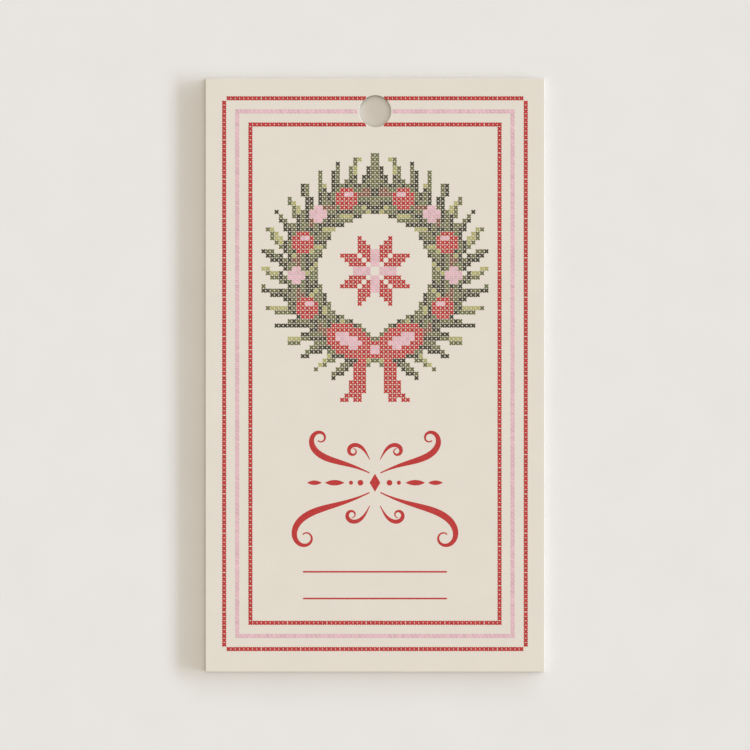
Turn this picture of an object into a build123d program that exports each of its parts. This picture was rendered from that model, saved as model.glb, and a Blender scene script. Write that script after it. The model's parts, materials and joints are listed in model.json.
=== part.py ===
# A paper gift tag that lies on its back: two plies of card glued together, cut and punched as one,
# and a face printed with stitched borders, a stitched wreath, a scroll and two writing rules.
# Millimetres. The origin is the middle of the back, X runs along the short side, Y towards the
# string hole and Z out of the printed face.
from build123d import *
from itertools import groupby
from math import atan2, cos, floor, hypot, pi, radians, sin
import os

os.makedirs("parts", exist_ok=True)

# Card
card_width = 50.8
card_height = 88.9
ply_thickness = 0.38
glue_thickness = 0.04

# String hole
hole_diameter = 4.76
hole_inset = 4.95

# Ink
ink_thickness = 0.03
stitch_pitch = 0.6545
stitch_gap = 0.06
print_rise = 0.2

# Border lines, measured from the card's edges to the outer line
side_margin = 2.82
end_margin = 3.22
border_step_stitches = 3
border_clear_stitches = 2

# Writing rules
rule_length = 21.6
rule_width = 0.24
rule_spacing = 4.0

# Wreath, scroll and rules, as shares of the art's size or of the print's height
art_height_share = 0.5
wreath_rise_share = 0.19
wreath_radius_share = 0.316
outer_sprig_share = 0.149
inner_sprig_share = 0.105
short_sprig_share = 0.7
sprig_width_share = 0.0175
star_arm_share = 0.063
bow_share = 0.2035
scroll_width_share = 0.648
scroll_drop_share = 0.198
rule_drop_share = 0.384

# Wreath counts, and angles in degrees, for the right half that is mirrored to the left
sprig_pairs = 18
long_lean = 52
short_lean = 20
bauble_angles = (-28, -4, 20, 44, 69)
twig_beats = 12

# Radii of the baubles, counted in stitches
bauble_large_stitches = 2.4
bauble_small_stitches = 1.8

# A line or the twig takes each stitch whose middle lies within this share of a stitch
line_reach_share = 0.45
twig_reach_share = 0.7

# Bow, as shares of its size across and up: half sizes, middles, and a tail's path from knot to end
knot_half_shares = (0.18, 0.16)
knot_lining_shares = (0.095, 0.078)
loop_middle_shares = (0.5, 0.17)
loop_half_shares = (0.5, 0.31)
loop_tilt = 22
lining_half_shares = (0.26, 0.13)
lining_shift_share = 0.05
tail_length_share = 1.03
tail_start_share = 0.08
tail_path_share = 0.1
tail_spread_share = 0.43
tail_wave_share = 0.078
tail_half_share = 0.1
tail_flare_share = 0.11
notch_start_share = 0.88
notch_half_share = 0.05

# Scroll, as shares of its width: each stroke's start across and up, length and thickness
stroke_shares = (
    (0.037, 0.062, 0.62, 0.039),
    (0.037, -0.062, 0.806, 0.041),
    (0.033, 0.145, 0.29, 0.0256),
    (0.033, -0.145, 0.314, 0.0256),
)
# Each stroke's first heading, steady bend and end curl in degrees, and the power the curl grows by
stroke_turns = (
    (26, -46, 420, 4),
    (-26, 46, -420, 4),
    (62, 10, -430, 2.4),
    (-62, -10, 430, 2.4),
)
stroke_steps = 160
stroke_knots = 20
stroke_end_share = 0.19
stroke_swell_power = 1.5
# Dots as place and radius, drops as two tips and a thickness, the diamond as width and height
dot_shares = ((0.09, 0.0175), (0.148, 0.0125))
drop_shares = ((0.19, 0.31, 0.034), (0.33, 0.42, 0.028))
diamond_shares = (0.066, 0.112)

# Sizes that follow
card_thickness = 2 * ply_thickness + glue_thickness
hole_y = card_height / 2 - hole_inset
outer_columns = round((card_width - 2 * side_margin) / stitch_pitch)
outer_rows = round((card_height - 2 * end_margin) / stitch_pitch)
inner_columns = outer_columns - 4 * border_step_stitches
inner_rows = outer_rows - 4 * border_step_stitches
art_size = stitch_pitch * min(inner_columns, inner_rows * art_height_share)
print_height = outer_rows * stitch_pitch


# Card: the plies and the glue share one outline and one punched hole

def card_sheet(bottom, thickness):
    """One layer of the card from a height up: a rectangle with the string hole punched through."""
    outline = Rectangle(card_width, card_height) - Pos(0, hole_y) * Circle(hole_diameter / 2)
    return extrude(Pos(0, 0, bottom) * outline, thickness)


# Ink: thin closed films that stand on the face, some of them cut by the hole

def ink_film(outline):
    """A film of ink of the outline's shape, on the card's face, as a list of solids."""
    return extrude(Pos(0, 0, card_thickness) * outline, ink_thickness).solids()


def ink_bar(x, y, columns, rows):
    """Outline of a bar of stitches, so many columns wide and rows high, about its middle."""
    width = columns * stitch_pitch - stitch_gap
    height = rows * stitch_pitch - stitch_gap
    return Pos(x, y) * Rectangle(width, height)


# Stitch grid: column 0 and row 0 are the outer border's left and bottom lines

def column_x(column):
    """Middle of a column of stitches."""
    return (column - outer_columns / 2) * stitch_pitch


def row_y(row):
    """Middle of a row of stitches."""
    return print_rise + (row - outer_rows / 2) * stitch_pitch


def row_edge(height):
    """The line between two rows nearest below a height above the print's middle."""
    row = floor(height / stitch_pitch + outer_rows / 2)
    return row_y(row) + stitch_pitch / 2


# Borders

def border_print(line, corner_stitches):
    """One border line as four bars of ink; the hole cuts its top bar in two."""
    first = line * border_step_stitches
    columns = outer_columns - 2 * first
    rows = outer_rows - 2 * first
    across = columns + corner_stitches
    punch = Pos(0, hole_y) * Circle(hole_diameter / 2)
    top = ink_bar(0, row_y(outer_rows - first), across, 1) - punch
    bottom = ink_bar(0, row_y(first), across, 1)
    left = ink_bar(column_x(first), print_rise, 1, rows - 1) - punch
    right = ink_bar(column_x(outer_columns - first), print_rise, 1, rows - 1) - punch
    return [solid for bar in (top, bottom, left, right) for solid in ink_film(bar)]


# Wreath: its right half is drawn by formula, stitch by stitch, and mirrored

wreath_y = row_edge(wreath_rise_share * print_height)
wreath_radius = wreath_radius_share * art_size
line_reach = line_reach_share * stitch_pitch


def ring_point(angle, radius):
    """Point at an angle of a circle about the wreath's middle."""
    return radius * cos(radians(angle)), wreath_y + radius * sin(radians(angle))


def along_across(x, y, start, heading):
    """A point's distance along and across a line that starts somewhere and heads at an angle."""
    dx = x - start[0]
    dy = y - start[1]
    turn = radians(heading)
    return dx * cos(turn) + dy * sin(turn), dy * cos(turn) - dx * sin(turn)


def wreath_sprigs():
    """The needles as (start, heading, length): long and short ones on both sides, and one at the top."""
    outer_length = outer_sprig_share * art_size
    inner_length = inner_sprig_share * art_size
    outside = wreath_radius + stitch_pitch
    inside = wreath_radius - stitch_pitch
    step = 180 / sprig_pairs
    sprigs = [(ring_point(90, outside), 90, outer_length)]
    for pair in range(sprig_pairs):
        long_angle = -90 + pair * step
        short_angle = long_angle + step / 2
        for angle, lean, share in ((long_angle, long_lean, 1), (short_angle, short_lean, short_sprig_share)):
            sprigs += [
                (ring_point(angle, outside), angle + 90 - lean, outer_length * share),
                (ring_point(angle, inside), angle + 90 + lean, inner_length * share),
            ]
    return sprigs


sprigs = wreath_sprigs()


def needle_ink(x, y):
    """Needles: slim leaves, widest half-way."""
    for start, heading, length in sprigs:
        along, across = along_across(x, y, start, heading)
        share = min(max(along / length, 0), 1)
        half_width = 2 * share * (1 - share) * sprig_width_share * art_size + line_reach
        if -stitch_pitch / 2 < along < length and abs(across) <= half_width:
            return "needle"
    return None


def twig_ink(x, y):
    """Twig: a ring that needles wind over in every third beat round the wreath."""
    if abs(hypot(x, y - wreath_y) - wreath_radius) > twig_reach_share * stitch_pitch:
        return None
    beat = floor(atan2(y - wreath_y, x) * twig_beats)
    return "twig" if beat % 3 else "needle"


def bauble_middle(angle, large):
    """Middle of a bauble on the twig, moved to a stitch's middle or, if small, to where four meet."""
    x, y = ring_point(angle, wreath_radius)
    across = x / stitch_pitch
    up = (y - wreath_y) / stitch_pitch
    across, up = (floor(across) + 1 / 2, floor(up) + 1 / 2) if large else (round(across), round(up))
    return across * stitch_pitch, wreath_y + up * stitch_pitch


def bauble_ink(x, y):
    """Baubles: large red ones, each with a pink shine, and small pink ones between them."""
    for number, angle in enumerate(bauble_angles):
        large = number % 2 == 0
        radius = (bauble_large_stitches if large else bauble_small_stitches) * stitch_pitch
        middle_x, middle_y = bauble_middle(angle, large)
        dx = x - middle_x
        dy = y - middle_y
        shine = hypot(dx + stitch_pitch / 2, dy - stitch_pitch) < stitch_pitch
        if hypot(dx, dy) <= radius:
            return "bauble_red" if large and not shine else "bauble_pink"
    return None


def star_ink(x, y):
    """Star: eight rhombus petals with bare diagonals, and a pink cross along the axes."""
    arm = star_arm_share * art_size
    longer = max(x, abs(y - wreath_y))
    shorter = min(x, abs(y - wreath_y))
    rise = longer - shorter
    if not (stitch_pitch / 2 < rise < arm + stitch_pitch / 2 and shorter < arm):
        return None
    return "star_cross" if shorter < stitch_pitch else "star"


def in_oval(across, up, half_shares):
    """Whether a point lies in an oval of these half sizes about its middle."""
    return hypot(across / half_shares[0], up / half_shares[1]) <= 1


def in_box(across, up, half_shares):
    """Whether a point lies in a box of these half sizes about its middle."""
    return abs(across) < half_shares[0] and abs(up) < half_shares[1]


def bow_ink(x, y):
    """Bow: a knot, tilted loops with a pink lining, and waved tails with notched ends."""
    size = bow_share * art_size
    across = x / size
    up = (y - wreath_y + wreath_radius) / size
    if in_box(across, up, knot_half_shares):
        return "bow_lining" if in_box(across, up, knot_lining_shares) else "bow"
    loop_along, loop_across = along_across(across, up, loop_middle_shares, loop_tilt)
    if in_oval(loop_along, loop_across, loop_half_shares):
        lined = in_oval(loop_along - lining_shift_share, loop_across, lining_half_shares)
        return "bow_lining" if lined else "bow"
    drop = -up / tail_length_share
    path = tail_path_share + tail_spread_share * drop + tail_wave_share * sin(2 * pi * drop)
    off_path = abs(across - path)
    notched = drop > notch_start_share and off_path < notch_half_share
    on_tail = tail_start_share < drop < 1 and off_path <= tail_half_share + tail_flare_share * drop
    return "bow" if on_tail and not notched else None


def ink_at(column, row):
    """Ink of a stitch, the topmost layer first, or None for bare paper."""
    x = abs(column_x(column))
    y = row_y(row)
    for layer in (bow_ink, star_ink, bauble_ink, twig_ink, needle_ink):
        ink = layer(x, y)
        if ink:
            return ink
    return None


def runs(inks):
    """Neighbouring stitches of one ink in a row of inks, as (ink, first place, count)."""
    place = 0
    for ink, group in groupby(inks):
        count = len(list(group))
        if ink:
            yield ink, place, count
        place += count


def wreath_prints():
    """Films of the wreath by ink: bars along each row, linked to the bars of their ink in the next row."""
    first = 2 * border_step_stitches + border_clear_stitches
    columns = range(first, outer_columns - first + 1)
    rows = range(first, outer_rows - first + 1)
    chart = [[ink_at(column, row) for column in columns] for row in rows]
    links = [[a if a == b else None for a, b in zip(*pair)] for pair in zip(chart, chart[1:])]
    outlines = {}
    for lines, tall in ((chart, 1), (links, 2)):
        for number, inks in enumerate(lines):
            y = row_y(rows[number] + (tall - 1) / 2)
            for ink, place, count in runs(inks):
                x = column_x(columns[place] + (count - 1) / 2)
                outlines.setdefault(ink, []).append(ink_bar(x, y, count, tall))
    return {ink: ink_film(Sketch() + bars) for ink, bars in outlines.items()}


# Scroll: tapered strokes with curled ends, mirrored left and right

scroll_width = scroll_width_share * art_size
scroll_y = print_rise - scroll_drop_share * print_height


def stroke_outline(shares, turns):
    """A stroke whose heading bends steadily and curls at its end, thickest half-way."""
    start_x, start_y, length, thickness = [share * scroll_width for share in shares]
    heading, bend, curl, curl_power = turns
    x = start_x
    y = scroll_y + start_y
    left = []
    right = []
    for step in range(stroke_steps + 1):
        share = step / stroke_steps
        turn = radians(heading + bend * share + curl * share**curl_power)
        if step:
            x += cos(turn) * length / stroke_steps
            y += sin(turn) * length / stroke_steps
        if step % (stroke_steps // stroke_knots) == 0:
            swell = stroke_end_share + (1 - stroke_end_share) * sin(pi * share) ** stroke_swell_power
            half_width = swell * thickness / 2
            left.append((x - half_width * sin(turn), y + half_width * cos(turn)))
            right.append((x + half_width * sin(turn), y - half_width * cos(turn)))
    return make_face([Spline(*left), Line(left[-1], right[-1]), Spline(*right), Line(right[0], left[0])])


def drop_outline(shares):
    """A drop along the scroll's middle line: two arcs from tip to tip."""
    tip, end, thickness = [share * scroll_width for share in shares]
    middle = (tip + end) / 2
    upper = ThreePointArc((tip, scroll_y), (middle, scroll_y + thickness / 2), (end, scroll_y))
    lower = ThreePointArc((end, scroll_y), (middle, scroll_y - thickness / 2), (tip, scroll_y))
    return make_face([upper, lower])


def dot_outline(shares):
    """A dot on the scroll's middle line."""
    place, radius = [share * scroll_width for share in shares]
    return Pos(place, scroll_y) * Circle(radius)


def diamond_outline():
    """The upright diamond in the scroll's middle."""
    half_width, half_height = [share * scroll_width / 2 for share in diamond_shares]
    tips = ((half_width, 0), (0, half_height), (-half_width, 0), (0, -half_height))
    return Pos(0, scroll_y) * Polygon(*tips)


def scroll_print():
    """Films of the scroll: a diamond in the middle, and strokes, dots and drops on both sides."""
    half = [stroke_outline(shares, turns) for shares, turns in zip(stroke_shares, stroke_turns)]
    half += [dot_outline(shares) for shares in dot_shares]
    half += [drop_outline(shares) for shares in drop_shares]
    films = ink_film(diamond_outline())
    for outline in half:
        films += ink_film(outline) + ink_film(mirror(outline, Plane.YZ))
    return films


def writing_rule_print():
    """Films of the two plain rules at the foot of the face."""
    middle = print_rise - rule_drop_share * print_height
    heights = (middle + rule_spacing / 2, middle - rule_spacing / 2)
    rule = Rectangle(rule_length, rule_width)
    return [solid for y in heights for solid in ink_film(Pos(0, y) * rule)]


# Assembly: one file for each node

pieces = {
    "back_ply": card_sheet(0, ply_thickness),
    "glue_film": card_sheet(ply_thickness, glue_thickness),
    "front_ply": card_sheet(ply_thickness + glue_thickness, ply_thickness),
    "outer_border_print": Compound(border_print(0, -1)),
    "middle_border_print": Compound(border_print(1, 1)),
    "inner_border_print": Compound(border_print(2, 1)),
    "scroll_print": Compound(scroll_print()),
    "writing_rule_print": Compound(writing_rule_print()),
}
for ink, films in wreath_prints().items():
    pieces[ink + "_print"] = Compound(films)
for node, piece in pieces.items():
    export_step(piece, "parts/" + node + ".step")
    print(node, len(piece.solids()), "solids")
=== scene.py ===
"""Dresses a flat paper gift tag: two glued plies of card, a print of crossed stitches and a studio.

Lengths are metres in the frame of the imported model: X to the right along the short side, Y along
the long side towards the string hole, and Z up out of the printed face. Places in the plane of the
card are complex numbers, X + Y times i.
"""

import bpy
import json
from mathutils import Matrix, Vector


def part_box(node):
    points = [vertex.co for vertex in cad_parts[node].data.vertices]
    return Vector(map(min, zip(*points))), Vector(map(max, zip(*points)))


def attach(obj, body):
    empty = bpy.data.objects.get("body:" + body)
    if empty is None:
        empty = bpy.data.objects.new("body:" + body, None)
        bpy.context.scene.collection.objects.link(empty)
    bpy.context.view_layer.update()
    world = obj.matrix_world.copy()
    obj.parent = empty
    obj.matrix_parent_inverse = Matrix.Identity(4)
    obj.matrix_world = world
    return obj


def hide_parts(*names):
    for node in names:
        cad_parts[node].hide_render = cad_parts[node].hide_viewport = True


bl_info = {
    "name": "Paper gift tag",
    "version": (1, 0, 0),
    "blender": (4, 5, 0),
    "location": "3D View > Sidebar > Gift tag",
    "description": "Card plies, stitched print, scroll and studio of a paper gift tag",
    "category": "Object",
}

import json

import bpy
import numpy as np

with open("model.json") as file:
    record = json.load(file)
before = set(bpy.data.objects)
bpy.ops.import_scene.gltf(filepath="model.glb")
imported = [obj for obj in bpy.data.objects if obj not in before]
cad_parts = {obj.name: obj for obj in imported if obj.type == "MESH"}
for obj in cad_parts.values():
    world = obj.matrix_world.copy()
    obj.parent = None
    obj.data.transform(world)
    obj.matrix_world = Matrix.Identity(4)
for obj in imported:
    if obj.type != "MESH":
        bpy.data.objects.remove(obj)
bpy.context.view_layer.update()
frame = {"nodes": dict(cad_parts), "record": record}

MM = 0.001

# Places read from the frame
FACE_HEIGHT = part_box("front_ply")[1].z
STRING_HOLE = next(mount for mount in frame["record"]["mounts"] if mount["name"] == "string_hole")
HOLE_CENTRE = complex(*STRING_HOLE["pos_m"][:2])
HOLE_RADIUS = STRING_HOLE["dims"]["r_mm"] * MM
BORDER_LOW, BORDER_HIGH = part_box("outer_border_print")
INNER_LOW, INNER_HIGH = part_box("inner_border_print")
STAR_LOW, STAR_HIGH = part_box("star_print")

# The stitch grid: the outer border is so many stitches wide, with a sliver of paper between stitches
STITCH_COLUMNS = 70
STITCH_GAP = 0.06 * MM
STITCH_PITCH = (BORDER_HIGH.x - BORDER_LOW.x + STITCH_GAP) / STITCH_COLUMNS
STITCH_ROWS = round((BORDER_HIGH.y - BORDER_LOW.y + STITCH_GAP) / STITCH_PITCH)

# The wreath's needles, as the model has them: shares of the art's size, leans in degrees and a count
ART_SIZE = INNER_HIGH.x - INNER_LOW.x + STITCH_GAP - STITCH_PITCH
WREATH_MIDDLE = complex(0, (STAR_LOW.y + STAR_HIGH.y) / 2)
WREATH_RADIUS_SHARE = 0.316
OUTER_SPRIG_SHARE = 0.149
INNER_SPRIG_SHARE = 0.105
SPRIG_WIDTH_SHARE = 0.0175
LONG_LEAN = 52
SHORT_LEAN = 20
SPRIG_PAIRS = 18
# A short sprig's length as a share of a long one's, and a line's reach as a share of a stitch
SHORT_SPRIG_SHARE = 0.7
LINE_REACH_SHARE = 0.45
# How light a needle's ink is, from the darkest green to the lightest
SHADED = 0.0
PLAIN = 0.5
LIT = 1.0

# The scroll, as the model has it: its width follows the art's size, and its drop the print's height
SCROLL_WIDTH_SHARE = 0.648
SCROLL_DROP_SHARE = 0.198
PRINT_MIDDLE = (BORDER_LOW.y + BORDER_HIGH.y) / 2
PRINT_HEIGHT = (STITCH_ROWS - 1) * STITCH_PITCH
SCROLL_WIDTH = SCROLL_WIDTH_SHARE * ART_SIZE
SCROLL_MIDDLE = complex(0, PRINT_MIDDLE - SCROLL_DROP_SHARE * PRINT_HEIGHT)
# As shares of the scroll's width, each stroke's start across and up, length and thickness
STROKE_SHARES = (
    (0.037, 0.062, 0.62, 0.039),
    (0.037, -0.062, 0.806, 0.041),
    (0.033, 0.145, 0.29, 0.0256),
    (0.033, -0.145, 0.314, 0.0256),
)
# Each stroke's first heading, steady bend and end curl in degrees, and the power the curl grows by
STROKE_TURNS = (
    (26, -46, 420, 4),
    (-26, 46, -420, 4),
    (62, 10, -430, 2.4),
    (-62, -10, 430, 2.4),
)
# A stroke's ends have this share of its full thickness, and it swells between them by this power
STROKE_END_SHARE = 0.19
STROKE_SWELL_POWER = 1.5
# Dots as place and radius, drops as two tips and a thickness, the diamond as width and height
DOT_SHARES = ((0.09, 0.0175), (0.148, 0.0125))
DROP_SHARES = ((0.19, 0.31, 0.034), (0.33, 0.42, 0.028))
DIAMOND_SHARES = (0.066, 0.112)

# How finely shapes are cut
RIM_STEPS = 5
FAN_COUNT = 240
STROKE_STEPS = 160
END_STEPS = 6
ARC_STEPS = 16
STITCH_ARMS = 4
ARM_POINTS = 4
CROSS_POINTS = STITCH_ARMS * ARM_POINTS
# Each rim's flat band ends so many rim radii in, and folds over this angle in radians stay sharp
RIM_BAND_RADII = 3
SHARP_ANGLE = 0.7
# A stroke's round end stops just short of a quarter turn, where it still has a sliver of width
ROUND_END_ANGLE = 0.47 * np.pi

# Between which values a noise is spread, and the tones and roughness that it is spread over
NOISE_ENDS = (0.3, 0.7)
CLOUD_TONES = (0.985, 1.01)
FIBRE_TONES = (0.975, 1.02)
LAYER_TONES = (0.9, 1.04)
INK_TONES = (0.93, 1.05)
CARD_ROUGHNESS = (0.82, 0.95)
GLUE_ROUGHNESS = (0.45, 0.65)
INK_ROUGHNESS = (0.8, 0.95)
# The floor is evenly rough, and card and ink reflect little
FLOOR_ROUGHNESS = 0.95
PAPER_SPECULAR = 0.12
# The tooth is a little coarser than the fibres, and the ink's patches are far broader than its specks
TOOTH_SCALE_SHARE = 0.8
PATCH_SCALE_SHARE = 0.15
# Specks grow between these values of their noise, to this share of bare paper
SPECK_ENDS = (0.6, 0.78)
SPECK_SHARES = (0.0, 0.45)
# A wall is where the normal's upright part falls between these, and its layers of pulp lie flat
WALL_ENDS = (0.9, 0.5)
LAYER_STRETCH = (0.12, 0.12, 1.0)
FLOOR_CLOUDS_PER_METRE = 90.0
# The sky brightens where a direction's upright part rises between these
SKY_ENDS = (0.6, 0.95)


def srgb(red, green, blue):
    """A colour as it shows on a screen, 0 to 255, as the linear colour that a shader takes."""
    shown = np.array([red, green, blue]) / 255
    linear = np.where(shown <= 0.04045, shown / 12.92, ((shown + 0.055) / 1.055) ** 2.4)
    return tuple(float(value) for value in linear)


def length(name, description, default):
    """A length that a user can change."""
    return bpy.props.FloatProperty(
        name=name, description=description, default=default, min=0, unit="LENGTH", precision=6
    )


def factor(name, description, default):
    """A share between nothing and all that a user can change."""
    return bpy.props.FloatProperty(
        name=name, description=description, default=default, min=0, max=1, subtype="FACTOR"
    )


def angle(name, description, degrees):
    """An angle that a user can change."""
    return bpy.props.FloatProperty(
        name=name, description=description, default=np.radians(degrees), min=0, subtype="ANGLE"
    )


def strength(name, description, default):
    """A strength of light that a user can change."""
    return bpy.props.FloatProperty(name=name, description=description, default=default, min=0)


def colour(name, description, default):
    """A colour that a user can change."""
    return bpy.props.FloatVectorProperty(
        name=name, description=description, default=default, size=3, min=0, max=1, subtype="COLOR"
    )


class CardSettings(bpy.types.PropertyGroup):
    """Sizes and colours of the card."""

    rim_radius: length("Rim radius", "How far the blade pressed each sheet's rim round", 0.05 * MM)
    tooth_size: length("Tooth size", "Spacing of the fine grain of uncoated paper", 0.16 * MM)
    tooth_height: length("Tooth height", "Height of the fine grain", 0.003 * MM)
    cloud_size: length("Cloud size", "Spacing of the soft clouds in the pulp", 5 * MM)
    layer_size: length("Layer size", "Spacing of the pulp layers that show on a cut edge", 0.05 * MM)
    face_colour: colour("Face", "Colour of the card's faces", srgb(229, 220, 206))
    # The cut edges are darker than the pulp: painted shade between the cut fibres, deepened to hold back
    # the low lamps' glare on the lit edge
    edge_pulp_and_shade_colour: colour("Edge", "Colour of the cut edges", srgb(173, 164, 149))
    glue_colour: colour("Glue", "Colour of the glue line", srgb(176, 163, 140))


class PrintSettings(bpy.types.PropertyGroup):
    """Sizes and inks of the print."""

    film_height: length("Film height", "How far the ink stands on the card", 0.006 * MM)
    film_root: length("Film root", "How far the ink has sunk into the card", 0.003 * MM)
    arm_share: factor("Arm width", "Width of a stitch's arm, as a share of the stitch", 0.40)
    wide_arm_share: factor("Wide arm width", "Width of an arm in the borders and the pinks", 0.465)
    reach_share: factor("Reach", "How far a stitch reaches each way, as a share of the stitch", 0.492)
    tip_share: factor("Tip", "How much of the reach is left at a stitch's blunted corners", 0.92)
    strip_stitches: bpy.props.IntProperty(
        name="Strip", description="Stitches in each printed strip of a border line", default=9, min=1
    )
    strip_gap_share: factor("Strip gap", "Bare gap between two strips, as a share of a stitch", 0.08)
    tone_spread: factor("Tone spread", "How much one stitch's ink differs from the next", 0.07)
    under_tone: factor("Under arm", "Tone of the arm that passes under", 0.9)
    speck_size: length("Speck size", "Spacing of the bare specks in the ink", 0.07 * MM)
    rule_width: length("Rule width", "Width of the writing rules", 0.24 * MM)
    red: colour("Red", "Red ink", srgb(190, 59, 57))
    pink: colour("Pink", "Pink ink", srgb(231, 186, 194))
    dark_green: colour("Dark green", "Needles in shade", srgb(66, 65, 49))
    mid_green: colour("Mid green", "Needles", srgb(112, 113, 75))
    light_green: colour("Light green", "Lit needles", srgb(180, 175, 112))
    brown: colour("Brown", "Twig", srgb(134, 86, 66))


class StageSettings(bpy.types.PropertyGroup):
    """Floor, lights and camera."""

    floor_size: length("Floor size", "Side of the square floor", 8.0)
    floor_drop: length("Floor drop", "Air under the card", 0.004 * MM)
    floor_colour: colour("Floor", "Colour of the floor", srgb(234, 231, 226))
    backdrop_colour: colour("Backdrop", "What the camera sees beyond the floor", srgb(231, 229, 223))
    sky_colour: colour("Sky", "Tint of the light from above", (1.0, 0.925, 0.82))
    sky_high: strength("Sky overhead", "Strength of the sky overhead", 1.35)
    sky_low: strength("Sky low down", "Strength of the sky near the floor", 0.27)
    lamp_colour: colour("Lamps", "Light of the two lamps", (0.70, 0.83, 1.0))
    side_strength: strength("Side lamp", "Strength of the long lamp on the right", 113.0)
    far_strength: strength("Far lamp", "Strength of the long lamp beyond the far right corner", 28.0)
    side_turn: angle("Side lamp turn", "From the right towards the hole, to the side lamp", 4)
    far_turn: angle("Far lamp turn", "From the right towards the hole, to the far lamp", 58)
    lamp_rise: angle("Lamp rise", "How high the lamps stand over the floor", 9.0)
    lamp_half_height: angle("Lamp half height", "From a lamp's middle to its upper and lower ends", 2.8)
    lamp_half_width: angle("Lamp half width", "From a lamp's middle to its left and right ends", 32)
    lens: bpy.props.FloatProperty(
        name="Lens", description="Focal length in millimetres", default=90.0, min=1, unit="CAMERA"
    )
    view_width: length("View width", "What the camera takes in at the card's face", 112.3 * MM)


# Shapes


def points_over(plan, heights):
    """Places in the card's plane at these heights, as rows of X, Y and Z."""
    levels = np.broadcast_to(heights, plan.shape)
    return np.stack([plan.real, plan.imag, levels], axis=-1).reshape(-1, 3)


def loft_quads(stations, section, closed):
    """Quads along a path with a closed section of so many points at each station.

    Each joins two neighbouring points of one station to those of the next. A closed path has no
    ends: its last station is followed by its first.
    """
    station = np.arange(stations if closed else stations - 1)[:, None]
    this = station * section
    following = (station + 1) % stations * section
    place = np.arange(section)
    further = np.roll(place, -1)
    quads = np.stack([this + place, this + further, following + further, following + place], axis=-1)
    return quads.reshape(-1, 4).tolist()


def wall_quads(count):
    """Quads from a lower ring of points up to the upper ring of as many points that comes before it."""
    ring = np.arange(count)
    following = np.roll(ring, -1)
    return np.stack([ring + count, following + count, following, ring], axis=1).tolist()


def ray_reach(toward, half, start):
    """How far rays from a start run until one coordinate leaves a sheet of this half size."""
    level = toward == 0
    return np.where(level, np.inf, (np.sign(toward) * half - start) / np.where(level, 1, toward))


def punched_sheet(low, high, rim):
    """A sheet with the string hole through it, as a closed ring of quads: points and faces.

    One parameter is the angle round the hole, an even fan with the corners' own angles added. The
    other runs round the sheet's section: up the hole's wall, out over the face, down the outer wall
    and back underneath. At each of the four rims a quarter circle of the rim's radius leads from
    wall to face. Outer points are where the fan's rays leave the sheet's rectangle.
    """
    half_width = (high.x - low.x) / 2
    half_height = (high.y - low.y) / 2
    corners = np.array([1 + 1j, -1 + 1j, -1 - 1j, 1 - 1j])
    corners = corners.real * half_width + 1j * corners.imag * half_height
    even = np.linspace(-np.pi, np.pi, FAN_COUNT, endpoint=False)
    fan = np.exp(1j * np.sort(np.concatenate([even, np.angle(corners - HOLE_CENTRE)])))
    reach_x = ray_reach(fan.real, half_width, HOLE_CENTRE.real)
    reach_y = ray_reach(fan.imag, half_height, HOLE_CENTRE.imag)
    outer = HOLE_CENTRE + fan * np.minimum(reach_x, reach_y)

    turn = np.linspace(0, np.pi / 2, RIM_STEPS)
    inset = np.append(rim * (1 - np.cos(turn)), RIM_BAND_RADII * rim)
    climb = np.append(rim * np.sin(turn), rim)
    upper = high.z - rim + climb
    lower = low.z + rim - climb
    inset = np.concatenate([inset, inset[::-1], inset, inset[::-1]])
    height = np.concatenate([upper, upper[::-1], lower, lower[::-1]])
    outside = np.repeat([False, True, True, False], RIM_STEPS + 1)

    at_hole = HOLE_CENTRE + fan[:, None] * (HOLE_RADIUS + inset)
    outer_x = outer.real[:, None] * (1 - inset / half_width)
    outer_y = outer.imag[:, None] * (1 - inset / half_height)
    plan = np.where(outside, outer_x + 1j * outer_y, at_hole)
    return points_over(plan, height), loft_quads(*plan.shape, closed=True)


def film_heights(count, settings):
    """Heights of a film of ink: so many points on top of it, then as many at its root."""
    return np.repeat([FACE_HEIGHT + settings.film_height, FACE_HEIGHT - settings.film_root], count)


def cross_outline(arm_share, settings):
    """Outline of one crossed stitch about its middle, in stitches, anticlockwise.

    The arms run along the square's diagonals. Each gives four points: the notch before it, a shoulder
    where its edge meets the square's side, its blunted corner and the other shoulder. Four quarter
    turns of the first arm's points give the cross.
    """
    notch = arm_share / np.sqrt(2)
    reach = settings.reach_share
    tip = reach * settings.tip_share
    arm = np.array([notch, reach + 1j * (reach - notch), tip + 1j * tip, reach - notch + 1j * reach])
    return (1j ** np.arange(STITCH_ARMS)[:, None] * arm).ravel()


def cross_faces():
    """Faces of one stitch's film: caps over its upper and lower outline, and a wall.

    A cap is a quad between the four notches, a quad along each arm and a triangle at its tip.
    """
    arm = ARM_POINTS * np.arange(STITCH_ARMS)
    after = (arm + ARM_POINTS) % CROSS_POINTS
    cap = [arm.tolist()] + np.stack([arm, arm + 1, arm + 3, after], axis=1).tolist()
    cap += np.stack([arm + 1, arm + 2, arm + 3], axis=1).tolist()
    under = [[place + CROSS_POINTS for place in reversed(face)] for face in cap]
    return cap + under + wall_quads(CROSS_POINTS)


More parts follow.
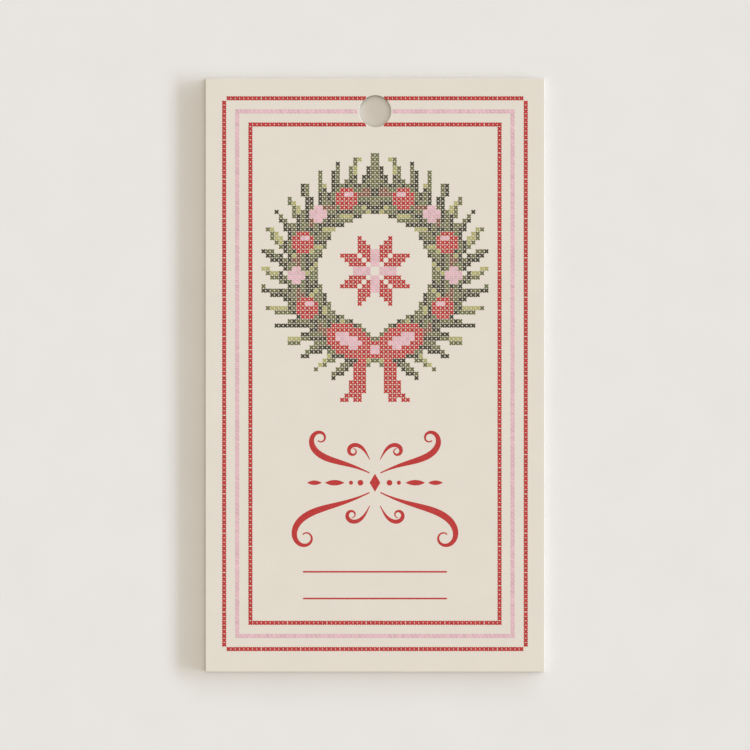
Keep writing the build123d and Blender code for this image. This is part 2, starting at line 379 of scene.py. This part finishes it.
def stitched_film(middles, arm_share, settings, seed):
    """Crossed stitches at these middles, as one film: points, faces and each point's tone.

    Every stitch is the one outline put at its middle, and doubled as an upper and a lower ring.
    Points that would fall into the string hole stop at its wall.
    """
    chance = np.random.default_rng(seed)
    count = len(middles)
    plan = middles[:, None] + STITCH_PITCH * cross_outline(arm_share, settings)
    from_hole = plan - HOLE_CENTRE
    plan = HOLE_CENTRE + from_hole * np.maximum(1, HOLE_RADIUS / np.abs(from_hole))
    points = points_over(np.concatenate([plan, plan], axis=1), film_heights(CROSS_POINTS, settings))
    arm_tone = np.tile(np.repeat([1.0, settings.under_tone, 1.0, settings.under_tone], ARM_POINTS), 2)
    tone = arm_tone * (1 + settings.tone_spread * chance.uniform(-1, 1, (count, 1)))
    starts = 2 * CROSS_POINTS * np.arange(count)
    faces = [row for face in cross_faces() for row in (starts[:, None] + np.array(face)).tolist()]
    return points, faces, tone.ravel()


def ribbon_film(centre, heading, half_width, settings):
    """A stroke of ink along a path: points and faces.

    At each station a flat section of four points stands across the heading: left and right on top of
    the film, right and left at its root. Round ends are added: beyond each end the centre goes on by
    the sine of an angle and the half width shrinks by its cosine.
    """
    round_end = np.linspace(0, ROUND_END_ANGLE, END_STEPS)[1:]
    before = centre[0] - heading[0] * half_width[0] * np.sin(round_end[::-1])
    after = centre[-1] + heading[-1] * half_width[-1] * np.sin(round_end)
    middle = np.concatenate([before, centre, after])
    widening = half_width[0] * np.cos(round_end[::-1])
    narrowing = half_width[-1] * np.cos(round_end)
    half = np.concatenate([widening, half_width, narrowing])
    ends = np.ones(END_STEPS - 1)
    side = 1j * half * np.concatenate([heading[0] * ends, heading, heading[-1] * ends])
    plan = np.stack([middle + side, middle - side, middle - side, middle + side], axis=1)
    stations, section = plan.shape
    first_cap = list(reversed(range(section)))
    last_cap = list(range(section * (stations - 1), section * stations))
    faces = loft_quads(stations, section, closed=False) + [first_cap, last_cap]
    return points_over(plan, film_heights(section // 2, settings)), faces


def plate_film(outline, settings):
    """A spot of ink with this outline, anticlockwise: an upper and a lower face and a wall."""
    count = len(outline)
    points = points_over(np.concatenate([outline, outline]), film_heights(count, settings))
    upper = list(range(count))
    lower = list(reversed(range(count, 2 * count)))
    return points, [upper, lower] + wall_quads(count)


def stroke_film(shares, turns, side, settings):
    """A scroll stroke on the right (side 1) or mirrored to the left (side -1).

    Its heading bends steadily and curls by a power of the share run, its centre is the running sum
    of its headings, and its half width swells as a power of a sine, thickest half-way.
    """
    across, up, reach, thickness = np.array(shares) * SCROLL_WIDTH
    first, bend, curl, power = turns
    share = np.linspace(0, 1, STROKE_STEPS + 1)
    heading = np.exp(1j * np.radians(first + bend * share + curl * share**power))
    steps = heading * reach / STROKE_STEPS
    centre = complex(across, up) + np.cumsum(steps) - steps[0]
    swell = STROKE_END_SHARE + (1 - STROKE_END_SHARE) * np.sin(np.pi * share) ** STROKE_SWELL_POWER
    if side < 0:
        centre = -np.conj(centre)
        heading = -np.conj(heading)
    return ribbon_film(SCROLL_MIDDLE + centre, heading, swell * thickness / 2, settings)


def drop_outline(tip, end, thickness):
    """A drop along the scroll's middle line: two arcs of one circle from tip to tip."""
    half = (end - tip) / 2
    rise = thickness / 2
    radius = (half**2 + rise**2) / (2 * rise)
    turn = np.linspace(1, -1, ARC_STEPS, endpoint=False) * np.arcsin(half / radius)
    upper = radius * (np.sin(turn) + 1j * np.cos(turn)) - 1j * (radius - rise)
    return (tip + end) / 2 + np.concatenate([upper, -upper])


def scroll_spots():
    """Outlines of the diamond, and of dots and drops on both sides, in shares of the scroll's width."""
    circle = np.exp(2j * np.pi * np.arange(2 * ARC_STEPS) / (2 * ARC_STEPS))
    right = [place + radius * circle for place, radius in DOT_SHARES]
    right += [drop_outline(*drop) for drop in DROP_SHARES]
    width, height = DIAMOND_SHARES
    diamond = np.array([width, 1j * height, -width, -1j * height]) / 2
    return [diamond] + right + [-outline for outline in right]


def join_films(films):
    """Several films as one: all points, and all faces with their places moved on."""
    starts = np.cumsum([0] + [len(points) for points, faces in films]).tolist()
    joined_faces = [
        [place + start for place in face]
        for start, (points, faces) in zip(starts, films)
        for face in faces
    ]
    return np.concatenate([points for points, faces in films]), joined_faces


# The stitch chart, read from the model's own films


def first_stitch(low):
    """Middle of the stitch in the lower left corner of a film's box."""
    return complex(low.x, low.y) + (STITCH_PITCH - STITCH_GAP) * (0.5 + 0.5j)


def stitch_grid():
    """Middles of all the grid's stitches."""
    columns = np.arange(STITCH_COLUMNS) * STITCH_PITCH
    rows = np.arange(STITCH_ROWS) * STITCH_PITCH
    return (first_stitch(BORDER_LOW) + columns[:, None] + 1j * rows).ravel()


def stitches_on(node):
    """Middles of the stitches that lie on a node's film: those inside one of its upper triangles."""
    mesh = frame["nodes"][node].data
    places = np.empty(len(mesh.vertices) * 3)
    mesh.vertices.foreach_get("co", places)
    corners = np.empty(len(mesh.loops), np.int32)
    mesh.loops.foreach_get("vertex_index", corners)
    triangles = places.reshape(-1, 3)[corners.reshape(-1, 3)]
    low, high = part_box(node)
    upper = triangles[np.all(triangles[:, :, 2] > (low.z + high.z) / 2, axis=1)]
    plan = upper[:, :, 0] + 1j * upper[:, :, 1]
    grid = stitch_grid()
    near = (grid.real > low.x) & (grid.real < high.x) & (grid.imag > low.y) & (grid.imag < high.y)
    grid = grid[near]
    inside = np.ones((len(grid), len(plan)), bool)
    for corner in range(3):
        edge = plan[:, (corner + 1) % 3] - plan[:, corner]
        away = grid[:, None] - plan[:, corner]
        inside &= (np.conj(edge) * away).imag >= -np.abs(edge) * STITCH_GAP / 2
    return grid[inside.any(axis=1)]


def in_strips(middles, node, settings):
    """Border stitches drawn together into strips, with a sliver of paper between strips.

    Along its line each stitch moves towards its strip's middle, in proportion to its distance.
    """
    low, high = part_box(node)
    off = middles - first_stitch(low)
    last_row = high.y - low.y - STITCH_PITCH
    level = (off.imag < STITCH_PITCH / 2) | (off.imag > last_row)
    run = np.where(level, off.real, off.imag)
    strip = STITCH_PITCH * settings.strip_stitches
    middle = (np.floor((run + STITCH_PITCH / 2) / strip) + 0.5) * strip - STITCH_PITCH / 2
    shift = (middle - run) * settings.strip_gap_share / settings.strip_stitches
    return middles + np.where(level, shift, 1j * shift)


def needle_sprigs():
    """The needles' starts, headings, lengths and inks left and right of the midrib, topmost first.

    A short pair and a long pair stand at each step round the wreath's right half, one leaning in
    and one leaning out, and every other long pair is lit. One more stands at the top.
    """
    radius = WREATH_RADIUS_SHARE * ART_SIZE
    step = 180 / SPRIG_PAIRS
    top = WREATH_MIDDLE + 1j * (radius + STITCH_PITCH)
    sprigs = [(top, 1j, OUTER_SPRIG_SHARE * ART_SIZE, PLAIN, PLAIN)]
    for pair in range(SPRIG_PAIRS):
        long_turn = -90 + pair * step
        short_turn = long_turn + step / 2
        darker, lighter = (SHADED, PLAIN) if pair % 2 else (PLAIN, LIT)
        for turn, lean, share, left, right in (
            (short_turn, SHORT_LEAN, INNER_SPRIG_SHARE * SHORT_SPRIG_SHARE, SHADED, PLAIN),
            (short_turn, -SHORT_LEAN, OUTER_SPRIG_SHARE * SHORT_SPRIG_SHARE, PLAIN, SHADED),
            (long_turn, LONG_LEAN, INNER_SPRIG_SHARE, darker, lighter),
            (long_turn, -LONG_LEAN, OUTER_SPRIG_SHARE, lighter, darker),
        ):
            base = radius - np.sign(lean) * STITCH_PITCH
            start = WREATH_MIDDLE + base * np.exp(1j * np.radians(turn))
            heading = np.exp(1j * np.radians(turn + 90 + lean))
            sprigs.append((start, heading, share * ART_SIZE, left, right))
    return [np.array(column) for column in zip(*sprigs)]


def needle_shades(middles):
    """How light each needle stitch is, from 0 to 1.

    A stitch belongs to the topmost sprig that it lies in. Along that sprig's heading its half width
    is a parabola plus the reach of a line, and the side of the midrib picks one of the two inks.
    A stitch outside all sprigs winds over the twig, in the shade.
    """
    start, heading, reach, left, right = needle_sprigs()
    folded = np.abs(middles.real) + 1j * middles.imag
    local = (folded[:, None] - start) * np.conj(heading)
    along = local.real
    share = np.clip(along / reach, 0, 1)
    line_reach = LINE_REACH_SHARE * STITCH_PITCH
    half_width = 2 * share * (1 - share) * SPRIG_WIDTH_SHARE * ART_SIZE + line_reach
    inside = (along > -STITCH_PITCH / 2) & (along < reach) & (np.abs(local.imag) <= half_width)
    topmost = inside.argmax(axis=1)
    on_left = np.take_along_axis(local.imag, topmost[:, None], axis=1)[:, 0] >= 0
    return np.where(on_left, left[topmost], right[topmost]) * inside.any(axis=1)


# Pieces


def add_piece(name, points, faces, material, node, slot):
    """A mesh that stands for a node, rides with the tag and takes the given material; the slot is not
    used.
    """
    mesh = bpy.data.meshes.new(name)
    mesh.from_pydata(points.tolist(), [], faces)
    mesh.materials.append(material)
    piece = bpy.data.objects.new(name, mesh)
    bpy.context.scene.collection.objects.link(piece)
    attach(piece, "root")
    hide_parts(node)
    return piece


def add_values(piece, name, values):
    """One number for each point, which the piece's material reads by name."""
    layer = piece.data.attributes.new(name, "FLOAT", "POINT")
    layer.data.foreach_set("value", np.ascontiguousarray(values, np.float32))


def add_stitches(node, material, slot, seed, strips=False):
    """The stitches of one node, with their tones, and their middles; a border's are in strips."""
    settings = bpy.context.scene.tag_print
    middles = stitches_on(node)
    places = in_strips(middles, node, settings) if strips else middles
    wide = strips or slot == "pink_ink"
    arm_share = settings.wide_arm_share if wide else settings.arm_share
    points, faces, tone = stitched_film(places, arm_share, settings, seed)
    piece = add_piece(node.replace("_print", "_stitches"), points, faces, material, node, slot)
    add_values(piece, "tone", tone)
    return piece, middles


# Nodes


def fill_inputs(tree, node, **inputs):
    """Fill a node's inputs with numbers or colours, or link them from sockets.

    An input goes by its name, with _ for each space, or by its place: i0, i1 and so on.
    """
    for name, value in inputs.items():
        socket = node.inputs[int(name[1:]) if name[1:].isdigit() else name.replace("_", " ")]
        if isinstance(value, bpy.types.NodeSocket):
            tree.links.new(value, socket)
        else:
            socket.default_value = value


def add_node(tree, kind, settings=None, **inputs):
    """A node of a kind with these settings and inputs."""
    node = tree.nodes.new(kind)
    for name, value in (settings or {}).items():
        setattr(node, name, value)
    fill_inputs(tree, node, **inputs)
    return node


def maths(tree, operation, first, second=0.0):
    """One step of arithmetic on numbers or sockets."""
    return add_node(tree, "ShaderNodeMath", {"operation": operation}, i0=first, i1=second).outputs[0]


def blend(tree, kind, share, first, second):
    """Two colours mixed in a given way by a share."""
    settings = {"data_type": "RGBA", "blend_type": kind}
    return add_node(tree, "ShaderNodeMix", settings, i0=share, i6=first, i7=second).outputs[2]


def shaded(tree, base, tone):
    """A colour times a tone."""
    shade = add_node(tree, "ShaderNodeCombineColor", i0=tone, i1=tone, i2=tone).outputs[0]
    return blend(tree, "MULTIPLY", 1.0, base, shade)


def noise(tree, vector, scale, detail=2.0, roughness=0.5):
    """Even noise between 0 and 1."""
    node = add_node(
        tree, "ShaderNodeTexNoise", Vector=vector, Scale=scale, Detail=detail, Roughness=roughness
    )
    return node.outputs["Fac"]


def spread(tree, value, ends, new_ends=(0.0, 1.0)):
    """A range of values stretched to another and held at its ends."""
    low, high = ends
    new_low, new_high = new_ends
    node = add_node(
        tree, "ShaderNodeMapRange",
        Value=value, From_Min=low, From_Max=high, To_Min=new_low, To_Max=new_high,
    )
    return node.outputs["Result"]


def point_value(tree, name):
    """A number that a piece's points carry."""
    return add_node(tree, "ShaderNodeAttribute", {"attribute_name": name}).outputs["Fac"]


# Node groups, each built when it is first placed


def new_group(name, inputs, outputs):
    """A node group with its sockets, and its input and output nodes."""
    group = bpy.data.node_groups.new(name, "ShaderNodeTree")
    for side, sockets in (("INPUT", inputs), ("OUTPUT", outputs)):
        for socket, kind in sockets.items():
            group.interface.new_socket(name=socket, in_out=side, socket_type="NodeSocket" + kind)
    return group, group.nodes.new("NodeGroupInput").outputs, group.nodes.new("NodeGroupOutput").inputs


def place_group(tree, name, make, **inputs):
    """A shared node group placed in a material, with its own values."""
    node = tree.nodes.new("ShaderNodeGroup")
    node.node_tree = bpy.data.node_groups.get(name) or make(name)
    fill_inputs(tree, node, **inputs)
    return node.outputs


def pulp_group(name):
    """Uncoated paper: soft clouds and fine fibres that shift the tone, and a tooth for the bump."""
    group, given, made = new_group(
        name,
        {"Vector": "Vector", "Tooth size": "Float", "Cloud size": "Float"},
        {"Tone": "Float", "Tooth": "Float"},
    )
    vector = given["Vector"]
    broad = maths(group, "DIVIDE", 1.0, given["Cloud size"])
    fine = maths(group, "DIVIDE", 1.0, given["Tooth size"])
    coarser = maths(group, "MULTIPLY", fine, TOOTH_SCALE_SHARE)
    clouds = noise(group, vector, broad, detail=3.0, roughness=0.6)
    fibres = noise(group, vector, fine, detail=4.0, roughness=0.65)
    tooth = noise(group, vector, coarser, detail=3.0, roughness=0.55)
    cloud_tone = spread(group, clouds, NOISE_ENDS, CLOUD_TONES)
    fibre_tone = spread(group, fibres, NOISE_ENDS, FIBRE_TONES)
    group.links.new(maths(group, "MULTIPLY", cloud_tone, fibre_tone), made["Tone"])
    group.links.new(tooth, made["Tooth"])
    return group


def cut_edge_group(name):
    """Cut paper: a mask of the walls, where the surface faces sideways, and the tone of their layers."""
    group, given, made = new_group(
        name,
        {"Vector": "Vector", "Normal": "Vector", "Layer size": "Float"},
        {"Wall": "Float", "Layers": "Float"},
    )
    upright = add_node(group, "ShaderNodeSeparateXYZ", i0=given["Normal"]).outputs[2]
    wall = spread(group, maths(group, "ABSOLUTE", upright), WALL_ENDS)
    flat = add_node(
        group, "ShaderNodeVectorMath", {"operation": "MULTIPLY"}, i0=given["Vector"], i1=LAYER_STRETCH
    )
    fine = maths(group, "DIVIDE", 1.0, given["Layer size"])
    layers = noise(group, flat.outputs[0], fine, detail=3.0, roughness=0.6)
    group.links.new(wall, made["Wall"])
    group.links.new(spread(group, layers, NOISE_ENDS, LAYER_TONES), made["Layers"])
    return group


def ink_group(name):
    """Printed ink: its tone shifts softly, and bare paper shows through in fine specks."""
    group, given, made = new_group(
        name,
        {"Vector": "Vector", "Ink": "Color", "Paper": "Color", "Tone": "Float", "Speck size": "Float"},
        {"Colour": "Color", "Specks": "Float"},
    )
    vector = given["Vector"]
    fine = maths(group, "DIVIDE", 1.0, given["Speck size"])
    patches = noise(group, vector, maths(group, "MULTIPLY", fine, PATCH_SCALE_SHARE))
    soft_tone = spread(group, patches, NOISE_ENDS, INK_TONES)
    tone = maths(group, "MULTIPLY", soft_tone, given["Tone"])
    grains = noise(group, vector, fine, detail=3.0, roughness=0.7)
    specks = spread(group, grains, SPECK_ENDS, SPECK_SHARES)
    inked = shaded(group, given["Ink"], tone)
    group.links.new(blend(group, "MIX", specks, inked, given["Paper"]), made["Colour"])
    group.links.new(specks, made["Specks"])
    return group


# Materials


def new_material(name):
    """A material with a Principled shader, its nodes and its object coordinates."""
    material = bpy.data.materials.new(name)
    material.use_nodes = True
    tree = material.node_tree
    shader = tree.nodes["Principled BSDF"]
    vector = tree.nodes.new("ShaderNodeTexCoord").outputs["Object"]
    return material, tree, shader, vector


def shared_material(name, make, ink):
    """An ink's material by name, made when first asked for."""
    return bpy.data.materials.get(name) or make(name, ink)


def add_pulp(tree, shader, vector):
    """The card's pulp: its tooth as a bump on the shader, and its tone and tooth for other uses."""
    card = bpy.context.scene.tag_card
    pulp = place_group(
        tree, "Paper pulp", pulp_group,
        Vector=vector, Tooth_size=card.tooth_size, Cloud_size=card.cloud_size,
    )
    bump = add_node(
        tree, "ShaderNodeBump", Height=pulp["Tooth"], Strength=1.0, Distance=card.tooth_height
    )
    fill_inputs(tree, shader, Normal=bump.outputs["Normal"])
    return pulp


def card_material(name):
    """Cream uncoated card: clouded, fibrous faces, and cut edges with layers of pulp, darkened by
    painted shade.
    """
    card = bpy.context.scene.tag_card
    material, tree, shader, vector = new_material(name)
    pulp = add_pulp(tree, shader, vector)
    normal = tree.nodes.new("ShaderNodeNewGeometry").outputs["Normal"]
    edge = place_group(
        tree, "Cut edge", cut_edge_group, Vector=vector, Normal=normal, Layer_size=card.layer_size
    )
    face = shaded(tree, (*card.face_colour, 1), pulp["Tone"])
    # The walls take the edge colour, which carries painted shade between the fibres
    wall = shaded(tree, (*card.edge_pulp_and_shade_colour, 1), edge["Layers"])
    fill_inputs(
        tree, shader,
        Base_Color=blend(tree, "MIX", edge["Wall"], face, wall),
        Roughness=spread(tree, pulp["Tooth"], NOISE_ENDS, CARD_ROUGHNESS),
        Specular_IOR_Level=PAPER_SPECULAR,
    )
    return material


def glue_material(name):
    """Dried glue: darker and smoother than the card, with pulp drawn into it."""
    card = bpy.context.scene.tag_card
    material, tree, shader, vector = new_material(name)
    pulp = add_pulp(tree, shader, vector)
    fill_inputs(
        tree, shader,
        Base_Color=shaded(tree, (*card.glue_colour, 1), pulp["Tone"]),
        Roughness=spread(tree, pulp["Tooth"], NOISE_ENDS, GLUE_ROUGHNESS),
    )
    return material


def finish_ink(tree, shader, vector, ink, tone):
    """Ink of a colour and tone on the card: specks, a soft sheen and the card's own tooth."""
    scene = bpy.context.scene
    add_pulp(tree, shader, vector)
    printed = place_group(
        tree, "Printed ink", ink_group,
        Vector=vector, Ink=ink, Paper=(*scene.tag_card.face_colour, 1), Tone=tone,
        Speck_size=scene.tag_print.speck_size,
    )
    fill_inputs(
        tree, shader,
        Base_Color=printed["Colour"],
        Roughness=spread(tree, printed["Specks"], SPECK_SHARES, INK_ROUGHNESS),
        Specular_IOR_Level=PAPER_SPECULAR,
    )


def stitch_ink_material(name, ink):
    """One printed ink whose tone changes from stitch to stitch."""
    material, tree, shader, vector = new_material(name)
    finish_ink(tree, shader, vector, (*ink, 1), point_value(tree, "tone"))
    return material


def needle_ink_material(name):
    """Three greens, picked stitch by stitch."""
    inks = bpy.context.scene.tag_print
    material, tree, shader, vector = new_material(name)
    ramp = add_node(tree, "ShaderNodeValToRGB", i0=point_value(tree, "shade"))
    stops = ramp.color_ramp.elements
    stops[0].color = (*inks.dark_green, 1)
    stops[1].color = (*inks.light_green, 1)
    stops.new(PLAIN).color = (*inks.mid_green, 1)
    finish_ink(tree, shader, vector, ramp.outputs[0], point_value(tree, "tone"))
    return material


def stroke_ink_material(name, ink):
    """One printed ink laid down evenly, for strokes and rules."""
    material, tree, shader, vector = new_material(name)
    finish_ink(tree, shader, vector, (*ink, 1), 1.0)
    return material


def floor_material(name):
    """Plain pale plaster, with barely seen clouds."""
    stage = bpy.context.scene.tag_stage
    material, tree, shader, vector = new_material(name)
    clouds = noise(tree, vector, FLOOR_CLOUDS_PER_METRE, detail=4.0, roughness=0.6)
    tone = spread(tree, clouds, NOISE_ENDS, CLOUD_TONES)
    fill_inputs(
        tree, shader,
        Base_Color=shaded(tree, (*stage.floor_colour, 1), tone),
        Roughness=FLOOR_ROUGHNESS,
        Specular_IOR_Level=0.0,
    )
    return material


# Studio


def add_floor(scene, settings):
    """A square of floor close under the card."""
    half = settings.floor_size / 2
    mesh = bpy.data.meshes.new("floor")
    corners = [(-half, -half), (half, -half), (half, half), (-half, half)]
    mesh.from_pydata([(x, y, -settings.floor_drop) for x, y in corners], [], [(0, 1, 2, 3)])
    mesh.materials.append(floor_material("Pale floor"))
    floor = bpy.data.objects.new("floor", mesh)
    scene.collection.objects.link(floor)


def lamp_glow(tree, settings, direction, upward, turn, full):
    """How bright a long lamp is in each direction: full at its middle, fading towards its ends."""
    middle = (np.cos(turn), np.sin(turn), 0)
    along = add_node(tree, "ShaderNodeVectorMath", {"operation": "DOT_PRODUCT"}, i0=direction, i1=middle)
    half_width = settings.lamp_half_width
    across = spread(tree, along.outputs["Value"], (np.cos(half_width), np.cos(half_width / 2)))
    off = maths(tree, "ABSOLUTE", maths(tree, "SUBTRACT", upward, np.sin(settings.lamp_rise)))
    half_height = np.sin(settings.lamp_half_height)
    up = spread(tree, off, (half_height, half_height / 2))
    return maths(tree, "MULTIPLY", maths(tree, "MULTIPLY", across, up), full)


def light_sky(scene, settings):
    """Soft light from above and two long low lamps, all far away, behind a plain pale backdrop."""
    world = bpy.data.worlds.new("Soft sky")
    world.use_nodes = True
    tree = world.node_tree
    direction = tree.nodes.new("ShaderNodeTexCoord").outputs["Generated"]
    upward = add_node(tree, "ShaderNodeSeparateXYZ", i0=direction).outputs[2]
    sky_glow = spread(tree, upward, SKY_ENDS, (settings.sky_low, settings.sky_high))
    side_glow = lamp_glow(tree, settings, direction, upward, settings.side_turn, settings.side_strength)
    far_glow = lamp_glow(tree, settings, direction, upward, settings.far_turn, settings.far_strength)
    both_glow = maths(tree, "ADD", side_glow, far_glow)
    sky = tree.nodes["Background"]
    fill_inputs(tree, sky, Color=(*settings.sky_colour, 1), Strength=sky_glow)
    lamps = add_node(tree, "ShaderNodeBackground", Color=(*settings.lamp_colour, 1), Strength=both_glow)
    light = add_node(tree, "ShaderNodeAddShader", i0=sky.outputs[0], i1=lamps.outputs[0])
    backdrop = add_node(tree, "ShaderNodeBackground", Color=(*settings.backdrop_colour, 1))
    path = tree.nodes.new("ShaderNodeLightPath").outputs
    seen = path["Is Camera Ray"]
    for kind in ("Is Glossy Ray", "Is Transmission Ray"):
        seen = maths(tree, "MAXIMUM", seen, path[kind])
    mixed = add_node(tree, "ShaderNodeMixShader", i0=seen, i1=light.outputs[0], i2=backdrop.outputs[0])
    fill_inputs(tree, tree.nodes["World Output"], Surface=mixed.outputs[0])
    scene.world = world


def set_camera(scene, settings):
    """A camera straight above the card's middle, at the distance that its view width needs."""
    data = bpy.data.cameras.new("camera")
    data.lens = settings.lens
    camera = bpy.data.objects.new("camera", data)
    away = settings.view_width * settings.lens / data.sensor_width
    camera.location = (0, 0, FACE_HEIGHT + away)
    scene.collection.objects.link(camera)
    scene.camera = camera


# Operators


class MakePlies(bpy.types.Operator):
    """Make the two plies of card, with rounded rims and the string hole"""

    bl_idname = "gift_tag.make_plies"
    bl_label = "Card plies"

    def execute(self, context):
        rim = context.scene.tag_card.rim_radius
        material = card_material("Cream card")
        for node, slot in (("back_ply", "back_card"), ("front_ply", "face_card")):
            points, faces = punched_sheet(*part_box(node), rim)
            piece = add_piece(node + "_sheet", points, faces, material, node, slot)
            piece.data.shade_smooth()
            piece.data.set_sharp_from_angle(angle=SHARP_ANGLE)
        return {"FINISHED"}


class MakeGlue(bpy.types.Operator):
    """Finish the glue line between the plies, which keeps the model's own shape"""

    bl_idname = "gift_tag.make_glue"
    bl_label = "Glue line"

    def execute(self, context):
        frame["nodes"]["glue_film"].material_slots[0].material = glue_material("Glue line")
        return {"FINISHED"}


class MakeBorders(bpy.types.Operator):
    """Make the three stitched border lines"""

    bl_idname = "gift_tag.make_borders"
    bl_label = "Stitched borders"

    def execute(self, context):
        inks = context.scene.tag_print
        red = shared_material("Red stitches", stitch_ink_material, inks.red)
        pink = shared_material("Pink stitches", stitch_ink_material, inks.pink)
        add_stitches("outer_border_print", red, "red_ink", seed=1, strips=True)
        add_stitches("middle_border_print", pink, "pink_ink", seed=2, strips=True)
        add_stitches("inner_border_print", red, "red_ink", seed=3, strips=True)
        return {"FINISHED"}


class MakeWreath(bpy.types.Operator):
    """Make the stitched wreath with its twig, baubles, bow and star"""

    bl_idname = "gift_tag.make_wreath"
    bl_label = "Stitched wreath"

    def execute(self, context):
        inks = context.scene.tag_print
        red = shared_material("Red stitches", stitch_ink_material, inks.red)
        pink = shared_material("Pink stitches", stitch_ink_material, inks.pink)
        brown = stitch_ink_material("Brown stitches", inks.brown)
        greens = needle_ink_material("Needle greens")
        needles, middles = add_stitches("needle_print", greens, "green_ink", seed=4)
        add_values(needles, "shade", np.repeat(needle_shades(middles), 2 * CROSS_POINTS))
        add_stitches("twig_print", brown, "brown_ink", seed=5)
        add_stitches("bauble_red_print", red, "red_ink", seed=6)
        add_stitches("bow_print", red, "red_ink", seed=7)
        add_stitches("star_print", red, "red_ink", seed=8)
        add_stitches("bauble_pink_print", pink, "pink_ink", seed=9)
        add_stitches("bow_lining_print", pink, "pink_ink", seed=10)
        add_stitches("star_cross_print", pink, "pink_ink", seed=11)
        return {"FINISHED"}


class MakeScroll(bpy.types.Operator):
    """Make the smooth scroll: curled strokes, drops, dots and a diamond"""

    bl_idname = "gift_tag.make_scroll"
    bl_label = "Scroll"

    def execute(self, context):
        settings = context.scene.tag_print
        red = shared_material("Red strokes", stroke_ink_material, settings.red)
        films = [
            stroke_film(shares, turns, side, settings)
            for shares, turns in zip(STROKE_SHARES, STROKE_TURNS)
            for side in (1, -1)
        ]
        films += [plate_film(SCROLL_MIDDLE + SCROLL_WIDTH * spot, settings) for spot in scroll_spots()]
        add_piece("scroll_strokes", *join_films(films), red, "scroll_print", "red_ink")
        return {"FINISHED"}


class MakeRules(bpy.types.Operator):
    """Make the two writing rules"""

    bl_idname = "gift_tag.make_rules"
    bl_label = "Writing rules"

    def execute(self, context):
        settings = context.scene.tag_print
        red = shared_material("Red strokes", stroke_ink_material, settings.red)
        low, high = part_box("writing_rule_print")
        half = settings.rule_width / 2
        across = np.linspace(low.x + half, high.x - half, ARC_STEPS)
        level = np.ones(ARC_STEPS)
        films = [
            ribbon_film(across + 1j * y, level + 0j, half * level, settings)
            for y in (low.y + half, high.y - half)
        ]
        add_piece("writing_rules", *join_films(films), red, "writing_rule_print", "red_ink")
        return {"FINISHED"}


class MakeStage(bpy.types.Operator):
    """Set the pale floor, the soft light and the camera"""

    bl_idname = "gift_tag.make_stage"
    bl_label = "Studio"

    def execute(self, context):
        scene = context.scene
        add_floor(scene, scene.tag_stage)
        light_sky(scene, scene.tag_stage)
        set_camera(scene, scene.tag_stage)
        scene.view_settings.view_transform = "Standard"
        return {"FINISHED"}


class GiftTagPanel(bpy.types.Panel):
    """Lists the tag's pieces and what can be changed"""

    bl_idname = "VIEW3D_PT_gift_tag"
    bl_label = "Gift tag"
    bl_space_type = "VIEW_3D"
    bl_region_type = "UI"
    bl_category = "Gift tag"

    def draw(self, context):
        for name, settings in SETTINGS.items():
            for value in settings.__annotations__:
                self.layout.prop(getattr(context.scene, name), value)
        for operator in OPERATORS:
            self.layout.operator(operator.bl_idname)


SETTINGS = {"tag_card": CardSettings, "tag_print": PrintSettings, "tag_stage": StageSettings}
OPERATORS = (MakePlies, MakeGlue, MakeBorders, MakeWreath, MakeScroll, MakeRules, MakeStage)


def register():
    """Register the settings, the operators and the panel."""
    for name, settings in SETTINGS.items():
        bpy.utils.register_class(settings)
        setattr(bpy.types.Scene, name, bpy.props.PointerProperty(type=settings))
    for operator in OPERATORS:
        bpy.utils.register_class(operator)
    bpy.utils.register_class(GiftTagPanel)


def unregister():
    """Take all of it out again."""
    bpy.utils.unregister_class(GiftTagPanel)
    for operator in reversed(OPERATORS):
        bpy.utils.unregister_class(operator)
    for name, settings in SETTINGS.items():
        delattr(bpy.types.Scene, name)
        bpy.utils.unregister_class(settings)


def main():
    """Make the tag piece by piece, then the studio."""
    register()
    bpy.ops.gift_tag.make_plies()
    bpy.ops.gift_tag.make_glue()
    bpy.ops.gift_tag.make_borders()
    bpy.ops.gift_tag.make_wreath()
    bpy.ops.gift_tag.make_scroll()
    bpy.ops.gift_tag.make_rules()
    bpy.ops.gift_tag.make_stage()


if __name__ == "__main__":
    main()
